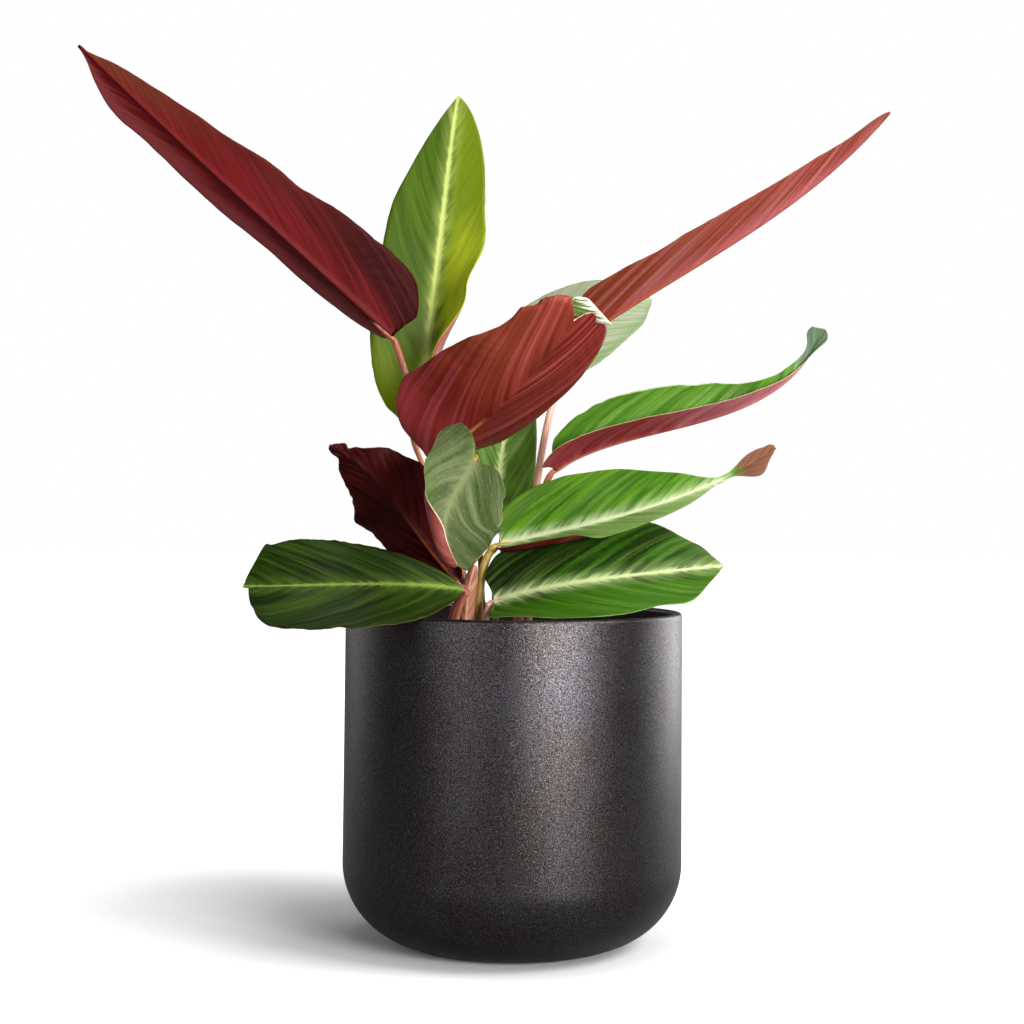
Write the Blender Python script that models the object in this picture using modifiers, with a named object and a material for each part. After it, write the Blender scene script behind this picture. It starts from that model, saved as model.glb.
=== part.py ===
"""Potted stromanthe: a young plant with long leaves, green above and red beneath,
in a plastic grow pot that stands inside a plain ceramic cover pot.

Metres, +Z up.  The origin is the centre of the cover pot's flat underside.
Lists of plant points are in millimetres and are turned into metres by MM.
"""
import math
from collections import namedtuple

import bmesh
import bpy
from mathutils import Vector

MM = 0.001
GAP = 0.3 * MM                  # clearance between pieces that touch

# cover pot
POT_HEIGHT = 146.6 * MM
POT_RIM_RADIUS = 75.0 * MM
POT_WAIST_RADIUS = 75.6 * MM    # just above the rounded bottom corner
POT_CORNER = 35.5 * MM          # radius of that corner
POT_WALL = 4.0 * MM
POT_FLOOR = 6.0 * MM
POT_LIP = 1.5 * MM              # rounding of the rim's two edges
POT_STEPS = 64

# grow pot inside it
GROW_HEIGHT = 122.0 * MM
GROW_TOP_RADIUS = 62.5 * MM
GROW_BASE_RADIUS = 40.0 * MM
GROW_WALL = 1.2 * MM
GROW_LIP_HEIGHT = 8.0 * MM      # stiff band around the top
GROW_LIP_OUT = 2.0 * MM
GROW_STEPS = 40
DRAIN_HOLES = 6
DRAIN_RADIUS = 4.0 * MM
DRAIN_RING = 26.0 * MM

# soil
SOIL_TOP = 125.0 * MM
ROOT_DEPTH = 8.0 * MM           # how deep each stem stands in the soil
POCKET_CLEARANCE = 0.5 * MM

# leaves and stems
BLADE_THICKNESS = 0.8 * MM
BLADE_BASE = 1.2 * MM           # half-width where the blade meets its stem
BLADE_END = 0.6 * MM            # smallest half-width at the tip
BLADE_ROWS = 16
LOBE_START = 0.3                # share of the half-width where a base lobe begins
STEM_GAP = 0.7 * MM             # between a stem's end and its blade
STEM_LEAD = 2.5 * MM            # a stem's last stretch, in line with the midrib
STEM_TAPER = 0.7                # a stem's radius at its blade, as a share of its foot's
STEM_POINTS = 11
SHEATH_THICKNESS = 0.6 * MM

# Colours, as a Principled BSDF takes them
CERAMIC_BLACK = (0.018, 0.017, 0.018)
PLASTIC_BLACK = (0.012, 0.012, 0.012)
SOIL_BROWN = (0.035, 0.020, 0.012)
LEAF_GREEN = (0.050, 0.160, 0.025)
LEAF_LIME = (0.190, 0.330, 0.030)
LEAF_PALE = (0.500, 0.580, 0.400)
LEAF_GREY_GREEN = (0.140, 0.230, 0.110)
LEAF_RED = (0.190, 0.025, 0.025)
LEAF_MAROON = (0.055, 0.008, 0.012)
STEM_ORANGE = (0.420, 0.130, 0.050)
STEM_OLIVE = (0.250, 0.150, 0.030)
STEM_CREAM = (0.600, 0.330, 0.200)

# One side of a blade.  width is the greatest half-width in millimetres.  base is the
# share of the length in which the base rounds out, and ease slows that rounding.
# belly and tip shape the taper to the tip, where the share end of the width is left.
# fold, curl and roll are in degrees and may change along the leaf: fold turns the
# whole side up at the midrib, curl bends it evenly, roll curls only its outer half.
# lobe is how far, in millimetres, the base reaches back past the stem.
Half = namedtuple("Half", "width base belly tip fold curl roll lobe end ease",
                  defaults=((0,), (0,), (0,), 0.0, 0.0, 1.0))

# A leaf: points along its midrib from base to tip, the way its upper side faces along
# that line, its two sides (left and right seen from above, tip ahead), and its stem:
# the place of its foot on the soil and two control points of the curve up to the blade.
Leaf = namedtuple("Leaf", "name midrib facing left right stem stem_radius colour stem_colour "
                  "columns neck notch ripple", defaults=(6, None, 0.0, 0.0))

LEAVES = [
    Leaf("left_tall",
         midrib=[(-56, 0, 269), (-83.5, -10, 293.5), (-129, -25, 334), (-186, -45, 386.5)],
         facing=[(0.46, 0.74, 0.49), (0.37, 0.85, 0.40), (0.23, 0.94, 0.25)],
         left=Half(27, 0.10, 1.4, 0.75, (42, 33, 24, 18), (3,), lobe=6),
         right=Half(25, 0.12, 1.8, 0.6, (42, 33, 24, 18), (3,), lobe=3),
         stem=[(-21, -7.5), (-21.5, -8, 178), (-42, 0, 229.5)],
         stem_radius=1.7, colour=LEAF_MAROON, stem_colour=STEM_ORANGE),
    Leaf("back_upright",
         midrib=[(-47.5, 30, 228.5), (-41, 34, 280), (-36.5, 40, 335), (-28.5, 50, 388.5)],
         facing=[(0.1, -1, 0.1), (0, -1, 0.1)],
         left=Half(28, 0.36, 3.3, 1.0, (10, 8, 5), (5,), lobe=4),
         right=Half(29, 0.36, 3.0, 0.8, (60, 42, 15, 5), (65, 50, 10, 5), lobe=3),
         stem=[(-18.5, -1), (-19, 4, 178), (-41.5, 22, 203)],
         stem_radius=1.6, colour=LEAF_LIME, stem_colour=STEM_ORANGE),
    Leaf("centre_red",
         midrib=[(-37, -20, 214), (-18, -45, 226), (10, -72, 252), (23, -82, 268)],
         facing=[(-0.36, 0.84, 0.40)],
         left=Half(33, 0.22, 6, 0.35, (20, 20, 20, 12, 5), (10, 5, 0, 5, 50),
                   (0, 0, 0, 20, 110), lobe=6, end=0.60),
         right=Half(34, 0.24, 2.4, 0.5, (25, 25, 20, 12, 5), (10, 15, 15, 30, 90),
                    (0, 0, 0, 30, 100), lobe=3, end=0.40),
         stem=[(-21.5, -14), (-21, -14, 165), (-27.5, -14, 196)],
         stem_radius=1.8, colour=LEAF_RED, stem_colour=STEM_ORANGE, columns=8, notch=11),
    Leaf("right_tall",
         midrib=[(31.5, 20, 272.5), (69, 5, 295.5), (116.5, -10, 322.5), (162.5, -20, 366.5)],
         facing=[(-0.3, 0, 0.9), (-0.35, 0, 0.8)],
         left=Half(21, 0.12, 1.9, 0.6, (45,), (5,), lobe=3),
         right=Half(22, 0.12, 1.9, 0.6, (48,), (5,), lobe=3),
         stem=[(6, 10), (6, 12, 169), (9, 16, 242)],
         stem_radius=1.7, colour=LEAF_RED, stem_colour=STEM_CREAM),
    Leaf("back_pale",
         midrib=[(-0.5, 45, 255.5), (21, 60, 275), (46, 75, 290), (67.5, 95, 298)],
         facing=[(0.1, -1, 0.5)],
         left=Half(23, 0.35, 3, 0.6, (5,), (5,)),
         right=Half(22, 0.35, 3, 0.6, (5,), (5,)),
         stem=[(-1, 17), (6, 32, 165), (3, 50, 236)],
         stem_radius=1.3, colour=LEAF_PALE, stem_colour=STEM_CREAM),
    Leaf("front_small",
         midrib=[(-17, -60, 212), (-21, -78, 200.5), (-25.5, -90, 186.5), (-23, -88, 170)],
         facing=[(0.2, -0.8, 0.5), (0.3, -1, 0.2)],
         left=Half(18, 0.5, 4, 0.5, (5, 5, 10), (5,), lobe=3),
         right=Half(23.5, 0.3, 5, 0.4, (5,), (5, 10, 15), (0, 0, 150, 190), lobe=20),
         stem=[(-12, -2), (-17, 4, 172), (-14, -30, 198)],
         stem_radius=1.4, colour=LEAF_GREY_GREEN, stem_colour=STEM_OLIVE, columns=10),
    Leaf("left_dark",
         midrib=[(-23, -22, 159), (-41, -30, 180.5), (-59.5, -40, 204), (-78, -50, 218)],
         facing=[(0.2, 1, 0.3), (0.3, 1, 0.3)],
         left=Half(24, 0.7, 3, 0.6, (15,), (10,), ease=1.8),
         right=Half(21, 0.5, 3, 0.6, (15,), (10,), ease=1.3),
         stem=[(-31, -13), (-28, -15, 143), (-26, -20, 153)],
         stem_radius=1.6, colour=LEAF_MAROON, stem_colour=STEM_ORANGE, ripple=2),
    Leaf("left_low",
         midrib=[(-21.5, -30, 157), (-48.5, -50, 160), (-79.5, -62, 160), (-112.5, -58, 159)],
         facing=[(0, -0.75, 0.66)],
         left=Half(25, 0.55, 12, 0.5, (5,), (5,), end=0.1, ease=2.0),
         right=Half(23.5, 0.85, 12, 0.5, (5,), (5,), end=0.1, ease=1.3),
         stem=[(-27.5, -24), (-26, -26, 141.5), (-24, -29, 151.5)],
         stem_radius=1.6, colour=LEAF_GREEN, stem_colour=STEM_ORANGE),
    Leaf("right_low",
         midrib=[(-6.5, -25, 152), (33.5, -40, 162), (60.5, -42, 165.5), (89, -35, 168.5)],
         facing=[(0, -0.8, 0.6)],
         left=Half(23.5, 0.35, 4, 0.8, (12,), (5,)),
         right=Half(19.5, 0.4, 5, 0.8, (12,), (5,)),
         stem=[(-10.5, -18), (-15, -20, 141.5), (-11.5, -23, 148)],
         stem_radius=2.0, colour=LEAF_GREEN, stem_colour=STEM_ORANGE),
    Leaf("right_middle",
         midrib=[(-7.5, -15, 176), (34, -28, 189), (79, -38, 202), (112, -30, 219.5)],
         facing=[(0, -0.77, 0.64), (0, -0.77, 0.64), (0, -1, 0.3)],
         left=Half(24, 0.4, 2.2, 0.8, (25,), (5,)),
         right=Half(21, 0.35, 1.8, 0.7, (35,), (-10,)),
         stem=[(-16, -12.5), (-16.5, -13.5, 156.5), (-14.5, -15, 171.5)],
         stem_radius=2.0, colour=LEAF_GREEN, stem_colour=STEM_OLIVE, neck=(0.80, 0.85, 0.11)),
    Leaf("right_folded",
         midrib=[(14.5, 0, 209.5), (65.5, -12, 227.5), (117, -22, 249), (132.5, -20, 269.5)],
         facing=[(0, -0.46, 0.89)],
         left=Half(26, 0.25, 1.8, 1.0, (60,)),
         right=Half(19, 0.1, 1.8, 0.6, (55,)),
         stem=[(2, 3), (2.5, 3, 164.5), (9, 3, 198.5)],
         stem_radius=1.7, colour=LEAF_GREEN, stem_colour=STEM_ORANGE, neck=(0.87, 0.70, 0.09)),
    Leaf("back_inner",
         midrib=[(-5.5, 20, 186), (-7, 28, 210), (-4.5, 35, 229), (-2, 40, 267)],
         facing=[(0, -1, 0.1)],
         left=Half(15, 0.4, 3, 0.8, (10,)),
         right=Half(15, 0.4, 3, 0.8, (10,)),
         stem=[(-9, 8), (-8.5, 10, 151), (-5, 16, 169)],
         stem_radius=1.4, colour=LEAF_GREEN, stem_colour=STEM_OLIVE),
]

# The papery sheath in front of the red leaf's stem is a narrow blade of its own.
SHEATH = Leaf("sheath",
              midrib=[(-21.5, -19.5, 125.8), (-21, -19.5, 142), (-20, -19.5, 156), (-17, -19.5, 167.5)],
              facing=[(0.05, 1, 0)],
              left=Half(4.2, 0.05, 3, 0.8, (20,), (70,)),
              right=Half(4.2, 0.05, 3, 0.8, (20,), (70,)),
              stem=None, stem_radius=0, colour=STEM_CREAM, stem_colour=None)

# A new leaf still rolled up in a spear, left of the crown.
SPEAR_PATH = [(-40, -22), (-40, -22, 136), (-41, -23, 146), (-43, -25, 158)]
SPEAR_RADIUS = 2.0
SPEAR_TAPER = 0.2


def start_scene():
    """Empty scene with one collection for the plant and one for the cutters."""
    for old in list(bpy.data.objects):
        bpy.data.objects.remove(old, do_unlink=True)
    made = []
    for name in ("potted_stromanthe", "cutters"):
        collection = bpy.data.collections.new(name)
        bpy.context.scene.collection.children.link(collection)
        made.append(collection)
    return made


def finish_material(name, colour, roughness, metallic=0.0):
    material = bpy.data.materials.new(name)
    material.use_nodes = True
    shader = material.node_tree.nodes["Principled BSDF"]
    shader.inputs["Base Color"].default_value = (*colour, 1.0)
    shader.inputs["Roughness"].default_value = roughness
    shader.inputs["Metallic"].default_value = metallic
    return material


def add_object(name, data, collection, material=None):
    piece = bpy.data.objects.new(name, data)
    collection.objects.link(piece)
    if material:
        data.materials.append(material)
    return piece


def arc(centre_r, centre_z, radius, start, end, steps):
    """Points (r, z) on an arc; angles in degrees from the outward direction."""
    points = []
    for i in range(steps + 1):
        a = math.radians(start + (end - start) * i / steps)
        points.append((centre_r + radius * math.cos(a), centre_z + radius * math.sin(a)))
    return points


def turned(name, profile, steps, collection, material):
    """Turn a profile of (r, z) points about the Z axis with a Screw modifier."""
    bm = bmesh.new()
    verts = [bm.verts.new((r, 0, z)) for r, z in profile]
    for a, b in zip(verts, verts[1:]):
        bm.edges.new((a, b))
    mesh = bpy.data.meshes.new(name)
    bm.to_mesh(mesh)
    bm.free()
    piece = add_object(name, mesh, collection, material)
    screw = piece.modifiers.new("turn", "SCREW")
    screw.axis = "Z"
    screw.steps = steps
    screw.render_steps = steps
    screw.use_merge_vertices = True
    screw.merge_threshold = 0.00001
    screw.use_smooth_shade = True
    return piece


def cut(piece, cutter):
    boolean = piece.modifiers.new("cut_" + cutter.name, "BOOLEAN")
    boolean.operation = "DIFFERENCE"
    boolean.solver = "EXACT"
    boolean.object = cutter


def peg(name, x, y, z_low, z_high, radius, sides, collection):
    """An upright cylinder used as a cutter."""
    bm = bmesh.new()
    bmesh.ops.create_cone(bm, cap_ends=True, segments=sides, radius1=radius,
                          radius2=radius, depth=z_high - z_low)
    bmesh.ops.translate(bm, verts=bm.verts, vec=(x, y, (z_low + z_high) / 2))
    mesh = bpy.data.meshes.new(name)
    bm.to_mesh(mesh)
    bm.free()
    cutter = add_object(name, mesh, collection)
    cutter.hide_render = True
    cutter.display_type = "WIRE"
    return cutter


def make_planter(collection):
    """Cover pot: straight wall, rounded bottom corner, flat underside."""
    inner_rim = POT_RIM_RADIUS - POT_WALL
    inner_waist = POT_WAIST_RADIUS - POT_WALL
    inner_corner = POT_CORNER - POT_WALL
    inner_corner_z = POT_FLOOR + inner_corner
    profile = [(0, POT_FLOOR), (inner_waist - inner_corner, POT_FLOOR)]
    profile += arc(inner_waist - inner_corner, inner_corner_z, inner_corner, -75, 0, 5)
    profile += arc(inner_rim + POT_LIP, POT_HEIGHT - POT_LIP, POT_LIP, 180, 90, 2)
    profile += arc(POT_RIM_RADIUS - POT_LIP, POT_HEIGHT - POT_LIP, POT_LIP, 90, 0, 2)
    profile += arc(POT_WAIST_RADIUS - POT_CORNER, POT_CORNER, POT_CORNER, 0, -75, 7)
    profile += [(POT_WAIST_RADIUS - POT_CORNER, 0), (0, 0)]
    finish = finish_material("black_ceramic", CERAMIC_BLACK, 0.45)
    return turned("planter", profile, POT_STEPS, collection, finish)


def grow_wall_radius(z):
    """Outer radius of the grow pot's wall at height z above its own base."""
    return GROW_BASE_RADIUS + (GROW_TOP_RADIUS - GROW_BASE_RADIUS) * z / GROW_HEIGHT


def make_grow_pot(collection, cutters):
    """Thin tapered grow pot with a stiff top band and drain holes in its floor."""
    base = POT_FLOOR + GAP
    top = base + GROW_HEIGHT
    band = top - GROW_LIP_HEIGHT
    band_radius = grow_wall_radius(GROW_HEIGHT - GROW_LIP_HEIGHT)
    profile = [
        (0, base + GROW_WALL),
        (grow_wall_radius(GROW_WALL) - GROW_WALL, base + GROW_WALL),
        (band_radius - GROW_WALL, band),
        (GROW_TOP_RADIUS - GROW_WALL + GROW_LIP_OUT, band),
        (GROW_TOP_RADIUS - GROW_WALL + GROW_LIP_OUT, top),
        (GROW_TOP_RADIUS + GROW_LIP_OUT, top),
        (GROW_TOP_RADIUS + GROW_LIP_OUT, band - GROW_WALL),
        (band_radius, band - GROW_WALL),
        (GROW_BASE_RADIUS, base),
        (0, base),
    ]
    finish = finish_material("black_plastic", PLASTIC_BLACK, 0.5)
    pot = turned("grow_pot", profile, GROW_STEPS, collection, finish)
    for i in range(DRAIN_HOLES):
        a = 2 * math.pi * (i + 0.5) / DRAIN_HOLES
        cut(pot, peg(f"drain_{i}", DRAIN_RING * math.cos(a), DRAIN_RING * math.sin(a),
                     base - GROW_WALL, base + 2 * GROW_WALL, DRAIN_RADIUS, 12, cutters))
    return pot


def stem_feet():
    """Place and radius of every stem where it enters the soil, in metres."""
    feet = [(leaf.stem[0], leaf.stem_radius) for leaf in LEAVES]
    feet.append((SPEAR_PATH[0], SPEAR_RADIUS))
    return [(x * MM, y * MM, radius * MM) for (x, y), radius in feet]


def make_soil(collection, cutters):
    """Soil that fills the grow pot, with a pocket for each stem."""
    low = POT_FLOOR + GAP + GROW_WALL + GAP
    base = POT_FLOOR + GAP
    low_radius = grow_wall_radius(low - base) - GROW_WALL - GAP
    band = base + GROW_HEIGHT - GROW_LIP_HEIGHT
    top = min(SOIL_TOP, band + GROW_LIP_HEIGHT)
    band_radius = grow_wall_radius(GROW_HEIGHT - GROW_LIP_HEIGHT) - GROW_WALL - GAP
    profile = [(0, top), (band_radius, top), (band_radius, band), (low_radius, low), (0, low)]
    soil = turned("soil", profile, GROW_STEPS, collection,
                  finish_material("potting_soil", SOIL_BROWN, 0.95))
    for i, (x, y, radius) in enumerate(stem_feet()):
        cut(soil, peg(f"pocket_{i}", x, y, SOIL_TOP - ROOT_DEPTH, SOIL_TOP + ROOT_DEPTH,
                      radius + POCKET_CLEARANCE, 12, cutters))
    return soil


def through(points, t):
    """Point at t on the smooth curve through a few points, spaced by their distances."""
    knots = [0.0]
    for a, b in zip(points, points[1:]):
        knots.append(knots[-1] + (Vector(b) - Vector(a)).length)
    total = knots[-1]
    place = Vector((0, 0, 0))
    for i, point in enumerate(points):
        weight = 1.0
        for j in range(len(points)):
            if j != i:
                weight *= (t * total - knots[j]) / (knots[i] - knots[j])
        place += weight * Vector(point)
    return place


def bezier(points, t):
    """Point at t on the Bezier curve with these control points."""
    level = [Vector(point) for point in points]
    while len(level) > 1:
        level = [a.lerp(b, t) for a, b in zip(level, level[1:])]
    return level[0]


def spread(values, t):
    """Value at t of a short list spread evenly from base to tip, with smooth steps."""
    if len(values) == 1:
        return values[0]
    place = min(max(t, 0.0), 1.0) * (len(values) - 1)
    i = min(int(place), len(values) - 2)
    part = place - i
    part = part * part * (3 - 2 * part)
    return values[i] * (1 - part) + values[i + 1] * part


def half_width(half, neck, t):
    """Half-width in metres of one side of a blade at t."""
    rounding = math.sqrt(1 - (1 - min(t / half.base, 1)) ** 2) ** half.ease
    taper = half.end + (1 - half.end) * max(1 - t ** half.belly, 0) ** half.tip
    width = half.width * MM * rounding * taper
    if neck:
        where, depth, length = neck
        width *= 1 - depth * math.exp(-((t - where) / length) ** 2)
    return max(width, BLADE_BASE + (BLADE_END - BLADE_BASE) * t)


def cross_section(half, t, x, width):
    """How far out and how far up a point lies at share x of a side's width."""
    steps = 24
    out = 0.0
    up = 0.0
    for i in range(steps):
        share = x * (i + 0.5) / steps
        outer = max(share - 0.45, 0) / 0.55
        angle = spread(half.fold, t) + spread(half.curl, t) * share + spread(half.roll, t) * outer
        out += math.cos(math.radians(angle)) * x * width / steps
        up += math.sin(math.radians(angle)) * x * width / steps
    return out, up


def blade_point(leaf, t, v):
    """Point of a blade at t from base to tip and v from -1 (left) to 1 (right)."""
    half = leaf.left if v < 0 else leaf.right
    side_sign = -1 if v < 0 else 1
    x = abs(v)
    centre = through(leaf.midrib, t) * MM
    along = (through(leaf.midrib, t + 0.001) - through(leaf.midrib, t - 0.001)).normalized()
    facing = spread([Vector(f) for f in leaf.facing], t)
    upward = (facing - facing.dot(along) * along).normalized()
    sideways = along.cross(upward) * side_sign
    width = half_width(half, leaf.neck, t)
    out, up = cross_section(half, t, x, width)
    wave = math.sin(2 * math.pi * (5 * t + (0.37 if v < 0 else 0)))
    up += leaf.ripple * MM * x * x * wave * math.sqrt(math.sin(math.pi * t))
    outer = max(x - LOBE_START, 0) / (1 - LOBE_START)
    fullness = min(2 * width / (half.width * MM), 1) ** 2
    back = half.lobe * MM * outer * fullness * max(1 - t / (2.5 * half.base), 0) ** 2
    ahead = leaf.notch * MM * (1 - (1 - min(x / 0.45, 1)) ** 2) * t ** 8
    return centre + sideways * out + upward * up + along * (ahead - back)


def make_blade(name, leaf, thickness, collection, material):
    """Leaf blade: a grid laid on the blade's surface and given its thickness."""
    bm = bmesh.new()
    bmesh.ops.create_grid(bm, x_segments=leaf.columns, y_segments=BLADE_ROWS, size=1.0)
    for vert in bm.verts:
        v = max(min(vert.co.x, 1.0), -1.0)
        u = max(min((vert.co.y + 1) / 2, 1.0), 0.0)
        t = 0.5 * u + 0.25 * (1 - math.cos(math.pi * u))
        vert.co = blade_point(leaf, t, v)
    mesh = bpy.data.meshes.new(name)
    bm.to_mesh(mesh)
    bm.free()
    mesh.shade_smooth()
    blade = add_object(name, mesh, collection, material)
    solid = blade.modifiers.new("thickness", "SOLIDIFY")
    solid.thickness = thickness
    solid.offset = 0.0
    return blade


def tube(name, points, radius, taper, collection, material):
    """Round tube through the points, its radius tapering to a share of itself."""
    curve = bpy.data.curves.new(name, "CURVE")
    curve.dimensions = "3D"
    curve.bevel_depth = radius
    curve.bevel_resolution = 2
    curve.use_fill_caps = True
    spline = curve.splines.new("POLY")
    spline.points.add(len(points) - 1)
    for i, point in enumerate(points):
        spline.points[i].co = (*point, 1.0)
        spline.points[i].radius = 1.0 + (taper - 1.0) * i / (len(points) - 1)
    spline.use_smooth = True
    return add_object(name, curve, collection, material)


def rising_route(controls):
    """Points from the bottom of a pocket in the soil along a Bezier curve."""
    x, y = controls[0]
    route = [(x, y, SOIL_TOP / MM)] + list(controls[1:])
    points = [Vector((x, y, (SOIL_TOP - ROOT_DEPTH + GAP) / MM)) * MM]
    points += [bezier(route, i / (STEM_POINTS - 1)) * MM for i in range(STEM_POINTS)]
    return points


def make_stem(leaf, collection, material):
    """Leaf stem: up from the soil, then in line with the midrib, just short of it."""
    base = Vector(leaf.midrib[0])
    along = (through(leaf.midrib, 0.01) - base).normalized()
    turn = base - along * STEM_LEAD / MM
    points = rising_route(leaf.stem + [turn])
    points.append((base - along * STEM_GAP / MM) * MM)
    return tube("stem_" + leaf.name, points, leaf.stem_radius * MM, STEM_TAPER, collection, material)


def main():
    plant, cutters = start_scene()
    make_planter(plant)
    make_grow_pot(plant, cutters)
    make_soil(plant, cutters)
    for leaf in LEAVES:
        skin = finish_material("leaf_" + leaf.name, leaf.colour, 0.45)
        make_blade("leaf_" + leaf.name, leaf, BLADE_THICKNESS, plant, skin)
        bark = finish_material("stem_" + leaf.name, leaf.stem_colour, 0.45)
        make_stem(leaf, plant, bark)
    paper = finish_material("dry_sheath", SHEATH.colour, 0.7)
    make_blade("shoot_sheath", SHEATH, SHEATH_THICKNESS, plant, paper)
    red = finish_material("rolled_leaf", LEAF_RED, 0.45)
    tube("shoot_spear", rising_route(SPEAR_PATH), SPEAR_RADIUS * MM, SPEAR_TAPER, plant, red)


main()
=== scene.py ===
import math
import random
from collections import namedtuple

import bmesh
import bpy
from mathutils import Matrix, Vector, noise


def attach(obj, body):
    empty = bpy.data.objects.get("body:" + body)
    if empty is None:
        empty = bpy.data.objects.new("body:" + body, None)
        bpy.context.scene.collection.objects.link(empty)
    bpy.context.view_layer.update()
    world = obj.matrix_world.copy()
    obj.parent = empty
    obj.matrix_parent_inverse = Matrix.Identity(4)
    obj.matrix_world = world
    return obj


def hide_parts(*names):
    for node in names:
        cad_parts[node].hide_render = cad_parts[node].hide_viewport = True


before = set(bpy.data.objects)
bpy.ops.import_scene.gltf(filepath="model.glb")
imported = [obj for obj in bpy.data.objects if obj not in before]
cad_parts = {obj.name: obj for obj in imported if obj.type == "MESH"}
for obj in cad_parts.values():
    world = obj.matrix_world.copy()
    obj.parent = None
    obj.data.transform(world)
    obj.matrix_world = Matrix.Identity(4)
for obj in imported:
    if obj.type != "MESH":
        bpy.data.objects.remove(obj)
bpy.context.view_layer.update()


# The studio: a camera level with the crown of the plant, a white sweep under and behind the
# pot, a soft lamp high at the right that throws the pot's shadow to the left, a soft box
# nearer the camera, one overhead, a panel at each side of the sweep and a fill at the left.
LAMP_AIM = (0, 0, 0.15)
CAMERA_DISTANCE = 0.8
CAMERA_HEIGHT = 0.1908
CAMERA_ROLL = -0.456
ROOM_LIGHT = 0.20
FLOOR_SIZE = 8.0


def soft_lamp(name, place, width, height, power):
    data = bpy.data.lights.new(name, "AREA")
    data.shape = "RECTANGLE"
    data.size = width
    data.size_y = height
    data.energy = power
    lamp = bpy.data.objects.new(name, data)
    lamp.location = place
    beam = Vector(LAMP_AIM) - Vector(place)
    lamp.rotation_euler = beam.to_track_quat("-Z", "Y").to_euler()
    bpy.context.scene.collection.objects.link(lamp)


soft_lamp("key_lamp", (0.95, -0.50, 1.05), 0.60, 0.60, 18)
soft_lamp("front_box", (0.62, -1.05, 0.35), 0.50, 0.34, 19.5)
soft_lamp("left_panel", (-1.0, 0.7, 0.35), 0.6, 0.8, 2)
soft_lamp("top_lamp", (0.10, -0.10, 1.50), 0.80, 0.80, 6)
soft_lamp("side_panel", (0.95, 0.75, 0.28), 0.8, 0.9, 13)
soft_lamp("fill_lamp", (-0.8, -1.3, 0.45), 0.6, 0.6, 6)

camera_data = bpy.data.cameras.new("camera")
camera_data.sensor_width = 36
camera_data.lens = 62.8
camera_data.shift_x = -0.0027
camera = bpy.data.objects.new("camera", camera_data)
camera.location = (0, -CAMERA_DISTANCE, CAMERA_HEIGHT)
camera.rotation_euler = (math.radians(90), math.radians(CAMERA_ROLL), 0)
bpy.context.scene.collection.objects.link(camera)
bpy.context.scene.camera = camera
bpy.context.scene.view_settings.view_transform = "Standard"

world = bpy.data.worlds.new("studio")
bpy.context.scene.world = world
world.use_nodes = True
sky = world.node_tree
sky.nodes.clear()
seen = sky.nodes.new("ShaderNodeLightPath")
white = sky.nodes.new("ShaderNodeBackground")
white.inputs["Color"].default_value = (1, 1, 1, 1)
white.inputs["Strength"].default_value = 1.0
room = sky.nodes.new("ShaderNodeBackground")
room.inputs["Color"].default_value = (1.0, 0.99, 0.98, 1)
room.inputs["Strength"].default_value = ROOM_LIGHT
either = sky.nodes.new("ShaderNodeMixShader")
sky_out = sky.nodes.new("ShaderNodeOutputWorld")
sky.links.new(seen.outputs["Is Camera Ray"], either.inputs[0])
sky.links.new(room.outputs[0], either.inputs[1])
sky.links.new(white.outputs[0], either.inputs[2])
sky.links.new(either.outputs[0], sky_out.inputs[0])


class Finish:
    """A material under construction: each step adds a node and gives its output."""

    def __init__(self, name, **constants):
        self.material = bpy.data.materials.new(name)
        self.material.use_nodes = True
        self.tree = self.material.node_tree
        self.shader = self.tree.nodes["Principled BSDF"]
        for socket, value in constants.items():
            self.shader.inputs[socket.replace("_", " ")].default_value = value

    def put(self, socket, value):
        if isinstance(value, bpy.types.NodeSocket):
            self.tree.links.new(value, socket)
        elif isinstance(value, tuple) and len(value) == 3 and socket.type == "RGBA":
            socket.default_value = (*value, 1.0)
        else:
            socket.default_value = value

    def node(self, kind, result=0, settings=None, **inputs):
        made = self.tree.nodes.new("ShaderNode" + kind)
        for setting, value in (settings or {}).items():
            setattr(made, setting, value)
        for socket, value in inputs.items():
            key = int(socket[1:]) if socket[1:].isdigit() else socket.replace("_", " ")
            self.put(made.inputs[key], value)
        return made.outputs[result]

    def place(self):
        return self.node("TexCoord", "Object")

    def uv(self, layer):
        return self.node("UVMap", settings={"uv_map": layer})

    def noise(self, vector, scale, seed=0.0, detail=2.0, rough=0.5):
        moved = self.node("Mapping", Vector=vector, Scale=scale,
                          Location=(seed, seed * 1.7, seed * 0.6))
        return self.node("TexNoise", Vector=moved, Scale=1.0, Detail=detail, Roughness=rough)

    def step(self, value, low, high, start=0.0, end=1.0):
        """Run smoothly from start, where the value is low, to end, where it is high."""
        return self.node("MapRange", settings={"interpolation_type": "SMOOTHSTEP"},
                         Value=value, From_Min=low, From_Max=high, To_Min=start, To_Max=end)

    def reckon(self, kind, first, second=0.0):
        return self.node("Math", settings={"operation": kind}, i0=first, i1=second)

    def mix(self, share, first, second):
        return self.node("Mix", 2, settings={"data_type": "RGBA"}, i0=share, i6=first, i7=second)

    def bump(self, height, depth, strength=1.0):
        self.put(self.shader.inputs["Normal"],
                 self.node("Bump", Height=height, Distance=depth, Strength=strength))

    def colour(self, value):
        self.put(self.shader.inputs["Base Color"], value)

    def gloss(self, value):
        self.put(self.shader.inputs["Roughness"], value)


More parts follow.
